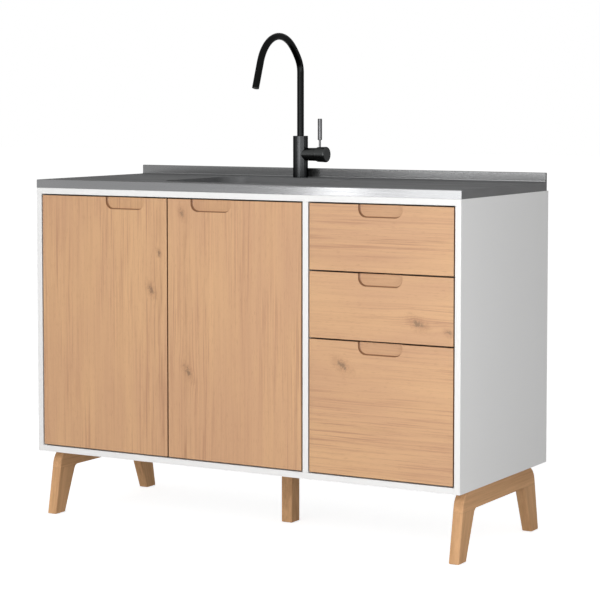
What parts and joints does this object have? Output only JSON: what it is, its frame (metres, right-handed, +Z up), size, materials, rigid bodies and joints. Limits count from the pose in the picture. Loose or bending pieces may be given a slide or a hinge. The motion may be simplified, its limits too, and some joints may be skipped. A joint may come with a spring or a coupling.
{
  "type": "kitchen sink unit",
  "caption": "Freestanding kitchen sink unit: white cabinet on splayed wooden legs, wood-faced doors and drawers, steel worktop with a bowl, tall black side-lever tap.",
  "frame": {"origin": "on the floor under the middle of the carcase's plan", "axes": "+Z up, the doors and drawers face -Y, +X to the viewer's right"},
  "size_m": [1.2, 0.5, 1.2416],
  "materials": {
    "white_board": "satin white laminate",
    "worktop_steel": "brushed",
    "core_board": "raw board",
    "bowl_steel": "satin",
    "white_plastic": "matte",
    "black_tap": "matt black",
    "cartridge_plastic": "matte",
    "brass_fittings": "machined",
    "leg_wood": "oiled",
    "glide_plastic": "matte",
    "zinc_steel": "zinc plated",
    "door_veneer": "satin lacquer, upright grain",
    "drawer_veneer": "satin lacquer, level grain",
    "drawer_board": "satin laminate"
  },
  "bodies": {
    "carcase": {"left_side_panel": "white_board", "right_side_panel": "white_board", "bottom_panel": "white_board", "divider_panel": "white_board", "front_top_rail": "white_board", "rear_top_rail": "white_board", "back_panel": "white_board", "worktop_sheet": "worktop_steel", "worktop_core": "core_board", "sink_bowl": "bowl_steel", "drain_body": "bowl_steel", "drain_nut": "white_plastic", "trap_body": "white_plastic", "trap_cup": "white_plastic", "outlet_pipe": "white_plastic", "slip_nuts": "white_plastic", "tap_body": "black_tap", "tap_shank": "brass_fittings", "tap_fixing_nut": "brass_fittings", "cartridge": "cartridge_plastic", "cartridge_nut": "brass_fittings", "left_leg_frame": "leg_wood", "right_leg_frame": "leg_wood", "centre_leg": "leg_wood", "foot_glides": "glide_plastic", "leg_screws": "zinc_steel", "hinge_arms": "zinc_steel", "hinge_pins": "zinc_steel", "hinge_plates": "zinc_steel", "cabinet_runners": "zinc_steel"},
    "left_door_leaf": {"left_door": "door_veneer", "left_door_hinge_cups": "zinc_steel"},
    "right_door_leaf": {"right_door": "door_veneer", "right_door_hinge_cups": "zinc_steel"},
    "strainer": {"strainer_basket": "bowl_steel"},
    "swivel_spout": {"spout": "black_tap", "aerator": "cartridge_plastic"},
    "mixer": {"mixer_spindle": "brass_fittings"},
    "lever": {"lever_stem": "brass_fittings", "handle_cap": "black_tap", "lever_pin": "black_tap"},
    "top_drawer": {"top_drawer_front": "drawer_veneer", "top_drawer_left_side": "drawer_board", "top_drawer_right_side": "drawer_board", "top_drawer_back": "drawer_board", "top_drawer_base": "drawer_board", "top_drawer_runners": "zinc_steel"},
    "middle_drawer": {"middle_drawer_front": "drawer_veneer", "middle_drawer_left_side": "drawer_board", "middle_drawer_right_side": "drawer_board", "middle_drawer_back": "drawer_board", "middle_drawer_base": "drawer_board", "middle_drawer_runners": "zinc_steel"},
    "bottom_drawer": {"bottom_drawer_front": "drawer_veneer", "bottom_drawer_left_side": "drawer_board", "bottom_drawer_right_side": "drawer_board", "bottom_drawer_back": "drawer_board", "bottom_drawer_base": "drawer_board", "bottom_drawer_runners": "zinc_steel"}
  },
  "joints": [
    {"name": "left_door_hinge", "type": "hinge", "parent": "carcase", "child": "left_door_leaf", "pos_m": [-0.5615, -0.242, 0.507], "axis": [0, 0, -1], "range_deg": [0, 95]},
    {"name": "right_door_hinge", "type": "hinge", "parent": "carcase", "child": "right_door_leaf", "pos_m": [0.1615, -0.242, 0.507], "axis": [0, 0, 1], "range_deg": [0, 95]},
    {"name": "top_drawer_slide", "type": "slide", "parent": "carcase", "child": "top_drawer", "axis": [0, -1, 0], "range_m": [0, 0.3]},
    {"name": "middle_drawer_slide", "type": "slide", "parent": "carcase", "child": "middle_drawer", "axis": [0, -1, 0], "range_m": [0, 0.3]},
    {"name": "bottom_drawer_slide", "type": "slide", "parent": "carcase", "child": "bottom_drawer", "axis": [0, -1, 0], "range_m": [0, 0.3]},
    {"name": "spout_swivel", "type": "hinge", "parent": "carcase", "child": "swivel_spout", "pos_m": [-0.079, 0.198, 0.976], "axis": [0, 0, 1], "range_deg": [-90, 90]},
    {"name": "mixer_turn", "type": "hinge", "parent": "carcase", "child": "mixer", "pos_m": [-0.029, 0.198, 0.928], "axis": [1, 0, 0], "range_deg": [-25, 65]},
    {"name": "lever_tilt", "type": "hinge", "parent": "mixer", "child": "lever", "pos_m": [-0.029, 0.198, 0.928], "axis": [0, 1, 0], "range_deg": [0, 22]},
    {"name": "strainer_lift", "type": "slide", "parent": "carcase", "child": "strainer", "axis": [0, 0, 1], "range_m": [0, 0.045]}
  ]
}
